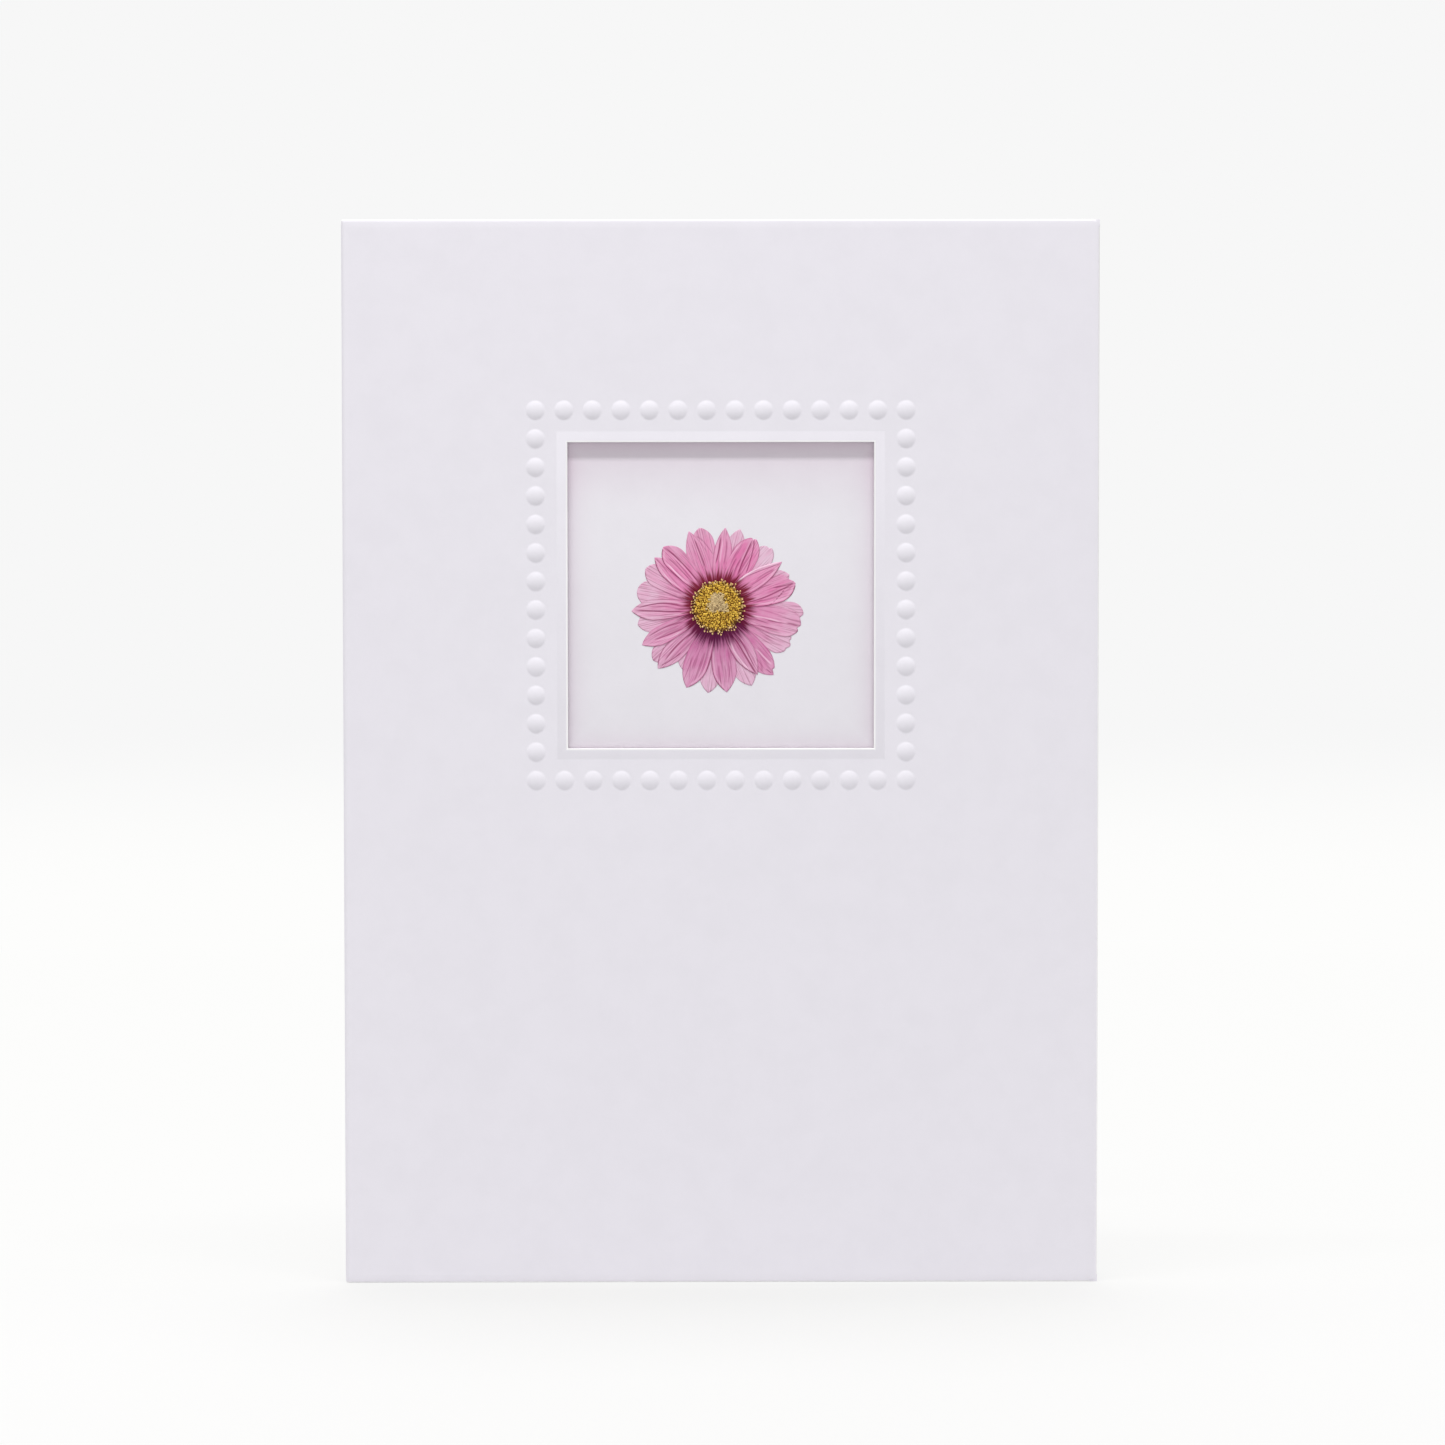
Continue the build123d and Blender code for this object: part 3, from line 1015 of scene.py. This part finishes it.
def margin_line(strength, inwards):
    """Darkness and height of a petal's margin at a distance inwards from its edge, in mm."""
    # The dark line at the edge is partly a darker dried margin and partly painted shadow; the light
    # line inside it, and the pale line of a curled margin, are painted highlights
    if strength < 0:
        height = -0.02 * strength * exp(-(((inwards - 0.16) / 0.14) ** 2))
        return strength * exp(-(((inwards - 0.13) / 0.17) ** 2)), height
    dark = exp(-((inwards / 0.1) ** 2)) - 0.45 * exp(-(((inwards - 0.32) / 0.13) ** 2))
    return strength * dark, 0.016 * strength * exp(-((inwards / 0.25) ** 2))


def build_petal(number, petal, sizes, material):
    """One petal: a grid drawn to its outline, creased, and laid over the ones below it."""
    frames = [petal_frame(other, sizes) for other in PETALS]
    root, run, span = frames[number - 1]
    side = Vector((-run.y, run.x))
    root_width = sizes.root_width / MM
    below = [
        (other, frame)
        for other, frame in zip(PETALS, frames)
        if other.level < petal.level
        and cos(radians(other.direction - petal.direction)) > BELOW_TURN
    ]
    creases = [read_crease(petal, sizes, crease) for crease in petal.creases]
    bm = bmesh.new()
    bmesh.ops.create_grid(bm, x_segments=PETAL_ROWS, y_segments=PETAL_COLUMNS, size=1.0)
    spots = bm.loops.layers.uv.new("along_across")
    pressed = bm.verts.layers.float_color.new("pressed")
    stations = {}
    low_side = max(0.0, -sin(radians(petal.direction)))
    for vert in bm.verts:
        share = (vert.co.x + 1) / 2
        across = 0.4 * vert.co.y + 0.6 * sin(vert.co.y * pi / 2)
        end = petal_end(petal, span, across)
        along = share * end
        half = petal_half_width(petal, span, root_width, along)
        sway = SIDE_SWAY * noise.noise(Vector((along * 0.25, number * 7.3, across * 0.6)))
        point = root + run * along + side * (across * half + sway * share)
        stations[vert] = (share, across, point.length)

        heights = {}
        for other, other_frame in below:
            inside = petal_covers(other, other_frame, root_width, point)
            cover = ramp(inside / DRAPE_LENGTH + 1.0)
            heights[other.level] = max(heights.get(other.level, 0.0), cover)
        layers = sum(heights.values())
        wave = noise.noise(Vector((along * 0.35, across * 1.1, number * 3.1)))
        lift = REST_HEIGHT + layers * sizes.petal_step / MM + WAVE_HEIGHT * share * wave

        line = TIP_LINE * exp(-(((end - along) / TIP_LINE_WIDTH) ** 2))
        ends = [petal_end(petal, span, across + step) for step in (-0.02, 0.02)]
        slope = (ends[1] - ends[0]) / (0.02 * petal.width)
        tip_gap = (end - along) / sqrt(1 + slope**2) + 2.5 * max(0.2 - abs(across), 0.0)
        for strength, turned in ((petal.left, across), (petal.right, -across)):
            inwards = (1 - turned) * half
            if turned > 0:
                inwards = min(inwards, tip_gap)
            dark, raised = margin_line(strength, inwards)
            line += dark * min(share / 0.2, 1.0)
            lift += raised * min(share / 0.3, 1.0)
        dark, deep = crease_marks(creases, share, across, half)
        line += dark
        lift -= deep
        tone = petal.depth * (1 - 0.25 * share**3)
        tone += max(0.7 - tone, 0.0) * ramp((0.75 - share) / 0.4)
        vert[pressed] = (layers / 4, line, tone, low_side)
        vert.co = Vector((point.x, point.y, lift)) * MM
    for face in bm.faces:
        for loop in face.loops:
            share, across, radius = stations[loop.vert]
            loop[spots].uv = (radius / FLOWER_REACH, across / 2 + 0.5 + number * 1.7)
    bmesh.ops.transform(bm, matrix=flower_plane(), verts=bm.verts[:])
    name = f"pressed_petal_{number:02d}"
    piece = new_piece(name, bm, [material], [f"petal_{number:02d}"], sharp=pi)
    thickness = piece.modifiers.new("thickness", "SOLIDIFY")
    thickness.thickness = sizes.petal_thickness
    thickness.offset = 0.0
    return piece


class CARD_OT_petals(bpy.types.Operator):
    """Make the petals, one over another"""

    bl_idname = "card.petals"
    bl_label = "Petals"

    def execute(self, context):
        material = petal_finish(context.scene.card_flower_colours)
        for number, petal in enumerate(PETALS, start=1):
            build_petal(number, petal, context.scene.card_flower, material)
        return {"FINISHED"}


# The disc, in mm from its middle: where the florets thin out and end, how far the pale buds
# are set above it, and where the stamens of the inner and outer row have their tips
FLORETS_THIN = 3.1
FLORETS_END = 3.5
BUD_SHIFT = 0.3
STAMEN_COUNT = 104
INNER_STAMENS = 3.4
OUTER_STAMENS = 3.7


def add_knob(bm, layer, place, radius, shade, stretch=1.0):
    """One floret's knob, in a shade of its own."""
    spot = Matrix.Translation(place) @ Matrix.Diagonal((1, 1, stretch, 1))
    made = bmesh.ops.create_uvsphere(bm, u_segments=8, v_segments=5, radius=radius, matrix=spot)
    for vert in made["verts"]:
        vert[layer] = (shade, shade, shade, 1.0)


def disc_height(sizes, radius):
    """Height of the disc's ground above the backing at a distance from its middle."""
    share = min(radius / sizes.disc_radius, 1.0)
    return (0.5 - 0.16 * share**3) * MM


def bud_reach(sizes, turn):
    """How far the pale middle reaches, which is drawn out towards three sides."""
    return sizes.button_radius * (0.95 + 0.16 * cos(3 * (turn - pi / 2)) + 0.1 * sin(turn))


def spiral(spacing, reach):
    """Distance and turn of the places in the spiral in which a daisy's disc grows."""
    golden = pi * (3 - sqrt(5))
    for index in range(int((reach / spacing) ** 2)):
        yield spacing * sqrt(index + 0.5), index * golden


class CARD_OT_disc(bpy.types.Operator):
    """Make the flower's disc: its ground, florets, pale buds and stamens"""

    bl_idname = "card.disc"
    bl_label = "Flower disc"

    def execute(self, context):
        sizes = context.scene.card_flower
        colours = context.scene.card_flower_colours
        chance = random.Random(5)
        self.ground(sizes, colours)
        self.florets(sizes, colours, chance)
        self.buds(sizes, colours, chance)
        self.stamens(sizes, colours, chance)
        return {"FINISHED"}

    def ground(self, sizes, colours):
        bm = bmesh.new()
        edge = sizes.disc_radius * 0.94
        rim = ring(bm, 48, edge, height=0.05 * MM)
        bmesh.ops.edgeloop_fill(bm, edges=rim)
        profile = [(edge, 0.05 * MM)]
        for share in (1.0, 0.97, 0.9, 0.75, 0.5, 0.25, 0.1):
            profile.append((edge * share, disc_height(sizes, edge * share)))
        top = carry_profile(bm, rim, profile)
        bmesh.ops.edgeloop_fill(bm, edges=top)
        bmesh.ops.recalc_face_normals(bm, faces=bm.faces[:])
        layer = bm.verts.layers.float_color.new("own_shade")
        for vert in bm.verts:
            shade = 1.0 - 0.9 * (vert.co.xy.length / edge) ** 8
            vert[layer] = (shade, shade, shade, 1.0)
        bmesh.ops.transform(bm, matrix=flower_plane(), verts=bm.verts[:])
        material = knob_finish("disc_ground", screen(70, 14, 24), colours.floret_gap, 0.9)
        new_piece("disc_ground", bm, [material], ["flower_disc"])

    def florets(self, sizes, colours, chance):
        bm = bmesh.new()
        layer = bm.verts.layers.float_color.new("own_shade")
        for away, turn in spiral(sizes.floret_spacing, sizes.disc_radius * 0.95):
            away *= chance.uniform(0.97, 1.03)
            turn += chance.uniform(-0.05, 0.05)
            bud_place = Vector((away * cos(turn), away * sin(turn) - BUD_SHIFT * MM))
            if bud_place.length < bud_reach(sizes, turn) * 0.85 or away > FLORETS_END * MM:
                continue
            edge = (FLORETS_THIN + 0.3 * max(sin(turn), 0.0)) * MM
            if chance.random() < (away - edge) / (0.35 * MM) + 0.5:
                continue
            radius = sizes.floret_radius * chance.uniform(0.7, 1.25)
            height = disc_height(sizes, away) + chance.uniform(-0.03, 0.08) * MM
            place = (away * cos(turn), away * sin(turn), height)
            add_knob(bm, layer, place, radius, chance.uniform(0.1, 1.0), stretch=0.8)
        bmesh.ops.transform(bm, matrix=flower_plane(), verts=bm.verts[:])
        material = knob_finish("floret_knob", colours.floret_low, colours.floret, 0.5)
        new_piece("disc_florets", bm, [material], sharp=pi)

    def buds(self, sizes, colours, chance):
        bm = bmesh.new()
        layer = bm.verts.layers.float_color.new("own_shade")
        for away, turn in spiral(sizes.bud_spacing, sizes.button_radius * 1.25):
            away *= chance.uniform(0.97, 1.03)
            reach = bud_reach(sizes, turn)
            if away > reach * chance.uniform(0.8, 1.12):
                continue
            height = disc_height(sizes, away) + chance.uniform(0.08, 0.13) * MM
            place = (away * cos(turn), away * sin(turn) + BUD_SHIFT * MM, height)
            speck = noise.noise(Vector(place) / (0.22 * MM)) - 0.1
            shade = chance.uniform(0.6, 1.0) - 1.4 * max(speck, 0.0) * (away < 1.2 * MM)
            radius = sizes.bud_spacing * chance.uniform(1.0, 1.4)
            add_knob(bm, layer, place, radius, shade, stretch=0.45)
        bmesh.ops.transform(bm, matrix=flower_plane(), verts=bm.verts[:])
        material = knob_finish("disc_bud", colours.bud_low, colours.bud, 0.7)
        new_piece("disc_buds", bm, [material], sharp=pi)

    def stamens(self, sizes, colours, chance):
        bm = bmesh.new()
        layer = bm.verts.layers.float_color.new("own_shade")
        for index in range(STAMEN_COUNT):
            turn = 2 * pi * (index + chance.uniform(-0.4, 0.4)) / STAMEN_COUNT
            if index % 2:
                reach = (OUTER_STAMENS - 0.1 * sin(turn) + chance.uniform(-0.16, 0.2)) * MM
            else:
                reach = (INNER_STAMENS + chance.uniform(-0.15, 0.15)) * MM
            if chance.random() < 0.08:
                reach += chance.uniform(0.1, 0.3) * MM
            foot_reach = min(reach, sizes.disc_radius * 0.95) * 0.85
            foot = Vector((cos(turn), sin(turn), 0.0)) * foot_reach
            foot.z = 0.4 * MM
            lean = turn + chance.uniform(-0.14, 0.14)
            tip = Vector((cos(lean), sin(lean), 0.0)) * reach
            tip.z = chance.uniform(0.46, 0.58) * MM
            run = tip - foot
            turned = run.to_track_quat("Z", "Y").to_matrix().to_4x4()
            spot = Matrix.Translation((foot + tip) / 2) @ turned
            stalk = bmesh.ops.create_cone(
                bm,
                cap_ends=True,
                segments=5,
                radius1=0.04 * MM,
                radius2=0.03 * MM,
                depth=run.length,
                matrix=spot,
            )
            shade = chance.uniform(0.5, 1.0)
            for vert in stalk["verts"]:
                vert[layer] = (shade * 0.3, shade * 0.3, shade * 0.3, 1.0)
            add_knob(bm, layer, tip, chance.uniform(0.09, 0.13) * MM, shade)
        bmesh.ops.transform(bm, matrix=flower_plane(), verts=bm.verts[:])
        material = knob_finish("stamen_tip", colours.floret_low, colours.stamen, 0.5)
        new_piece("disc_stamens", bm, [material], sharp=pi)


def floor_finish(settings):
    """White table that keeps a soft shadow at the card's foot and fades into the backdrop."""
    finish = Finish(bpy.data.materials.new("table_top"))
    place = finish.place()
    across = finish.node("ShaderNodeVectorMath", {"operation": "LENGTH"}, {0: place})
    away = Number(finish, across.outputs["Value"])
    behind = Number(finish, finish.node("ShaderNodeSeparateXYZ", {}, {0: place}).outputs["Y"])
    seen = Number(finish, finish.node("ShaderNodeLightPath", {}, {}).outputs["Is Camera Ray"])
    # Painted shade: the floor's colour, as the camera sees it, is darkened by ambient occlusion near
    # the card's foot
    inputs = {"Color": (*settings.floor, 1.0), "Distance": 0.08}
    contact_shade = finish.node("ShaderNodeAmbientOcclusion", {"samples": 8}, inputs).outputs["Color"]
    ground = finish.blend(seen, tint(settings.floor_bounce), contact_shade)
    inputs = {"Base Color": ground, "Roughness": 0.9, "Specular IOR Level": 0.2}
    table = finish.node("ShaderNodeBsdfPrincipled", {}, inputs).outputs[0]
    far = finish.blend(away.between(0.6, 1.4), tint(settings.floor_glow), tint(settings.backdrop))
    glow = finish.node("ShaderNodeEmission", {}, {"Color": far}).outputs[0]
    faded = behind.between(-0.045, -0.02) * 0.15 + away.between(0.08, 0.2) * 0.06 + 0.76
    faded = faded + away.between(0.4, 1.2)
    mixed = finish.node("ShaderNodeMixShader", {}, {0: faded.clamped() * seen, 1: table, 2: glow})
    finish.node("ShaderNodeOutputMaterial", {}, {"Surface": mixed.outputs[0]})
    return finish.owner


# Height on the card that the lamps are aimed at; the size and place of each, from there, in m
AIM_HEIGHT = 0.09
STRIP_LAMP = ("strip_lamp", 0.5, 0.05, (-0.05, -0.178, 0.64))
REAR_LAMP = ("rear_lamp", 0.6, 0.6, (0.0, 0.75, 0.4))


class CARD_OT_stage(bpy.types.Operator):
    """Make the table, the lamps, the white room and the camera"""

    bl_idname = "card.stage"
    bl_label = "Stage"

    def execute(self, context):
        settings = context.scene.card_stage
        bm = bmesh.new()
        bmesh.ops.create_grid(bm, x_segments=8, y_segments=8, size=3.0)
        mesh = bpy.data.meshes.new("table")
        bm.to_mesh(mesh)
        bm.free()
        mesh.materials.append(floor_finish(settings))
        table = bpy.data.objects.new("table", mesh)
        context.scene.collection.objects.link(table)

        self.lamp(context, STRIP_LAMP, settings.lamp_power)
        self.lamp(context, REAR_LAMP, settings.rear_power)
        self.room(context, settings)

        view = bpy.data.cameras.new("camera")
        view.lens = settings.lens
        view.sensor_width = CAMERA_SENSOR
        view.clip_end = 20.0
        camera = bpy.data.objects.new("camera", view)
        camera.matrix_world = camera_view()
        context.scene.collection.objects.link(camera)
        context.scene.camera = camera
        context.scene.view_settings.view_transform = "Standard"
        return {"FINISHED"}

    def lamp(self, context, place, power):
        """A broad lamp that shines on the card."""
        name, width, depth, spot = place
        lamp = bpy.data.lights.new(name, "AREA")
        lamp.shape = "RECTANGLE"
        lamp.size = width
        lamp.size_y = depth
        lamp.energy = power
        lit = bpy.data.objects.new(name, lamp)
        lit.location = Vector((0.0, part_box("card")[0].y, AIM_HEIGHT)) + Vector(spot)
        lit.rotation_euler = (atan2(-spot[1], spot[2]), 0.0, 0.0)
        lit.visible_camera = False
        context.scene.collection.objects.link(lit)

    def room(self, context, settings):
        """Light from all round, which is seen as the backdrop."""
        context.scene.world = bpy.data.worlds.new("white_room")
        room = Finish(context.scene.world)
        rays = room.node("ShaderNodeLightPath", {}, {}).outputs
        seen = Number(room, rays["Is Camera Ray"]).math("MAXIMUM", rays["Is Glossy Ray"])
        seen = seen.math("MAXIMUM", rays["Is Transmission Ray"])
        inputs = {"Strength": settings.surround}
        light = room.node("ShaderNodeBackground", {}, inputs).outputs[0]
        inputs = {"Color": (*settings.backdrop, 1.0)}
        backdrop = room.node("ShaderNodeBackground", {}, inputs).outputs[0]
        mixed = room.node("ShaderNodeMixShader", {}, {0: seen, 1: light, 2: backdrop})
        room.node("ShaderNodeOutputWorld", {}, {"Surface": mixed.outputs[0]})


class CARD_PT_pieces(bpy.types.Panel):
    """Buttons for the card's pieces"""

    bl_idname = "CARD_PT_pieces"
    bl_label = "Pressed Daisy Card"
    bl_space_type = "VIEW_3D"
    bl_region_type = "UI"
    bl_category = "Card"

    def draw(self, context):
        for operator in OPERATORS:
            self.layout.operator(operator.bl_idname)
        for group in GROUPS:
            settings = getattr(context.scene, group)
            for name in settings.bl_rna.properties.keys():
                if name not in ("rna_type", "name"):
                    self.layout.prop(settings, name)


OPERATORS = (CARD_OT_stage, CARD_OT_sheet, CARD_OT_backing, CARD_OT_petals, CARD_OT_disc)
GROUPS = {
    "card_sheet": SheetSizes,
    "card_flower": FlowerSizes,
    "card_paper": PaperColours,
    "card_flower_colours": FlowerColours,
    "card_stage": StageSettings,
}


def register():
    for group in (*GROUPS.values(), *OPERATORS, CARD_PT_pieces):
        bpy.utils.register_class(group)
    for name, group in GROUPS.items():
        setattr(bpy.types.Scene, name, PointerProperty(type=group))


def unregister():
    for name in GROUPS:
        delattr(bpy.types.Scene, name)
    for group in (CARD_PT_pieces, *reversed(OPERATORS), *GROUPS.values()):
        bpy.utils.unregister_class(group)


def main():
    register()
    bpy.ops.card.stage()
    bpy.ops.card.sheet()
    bpy.ops.card.backing()
    bpy.ops.card.petals()
    bpy.ops.card.disc()


if __name__ == "__main__":
    main()
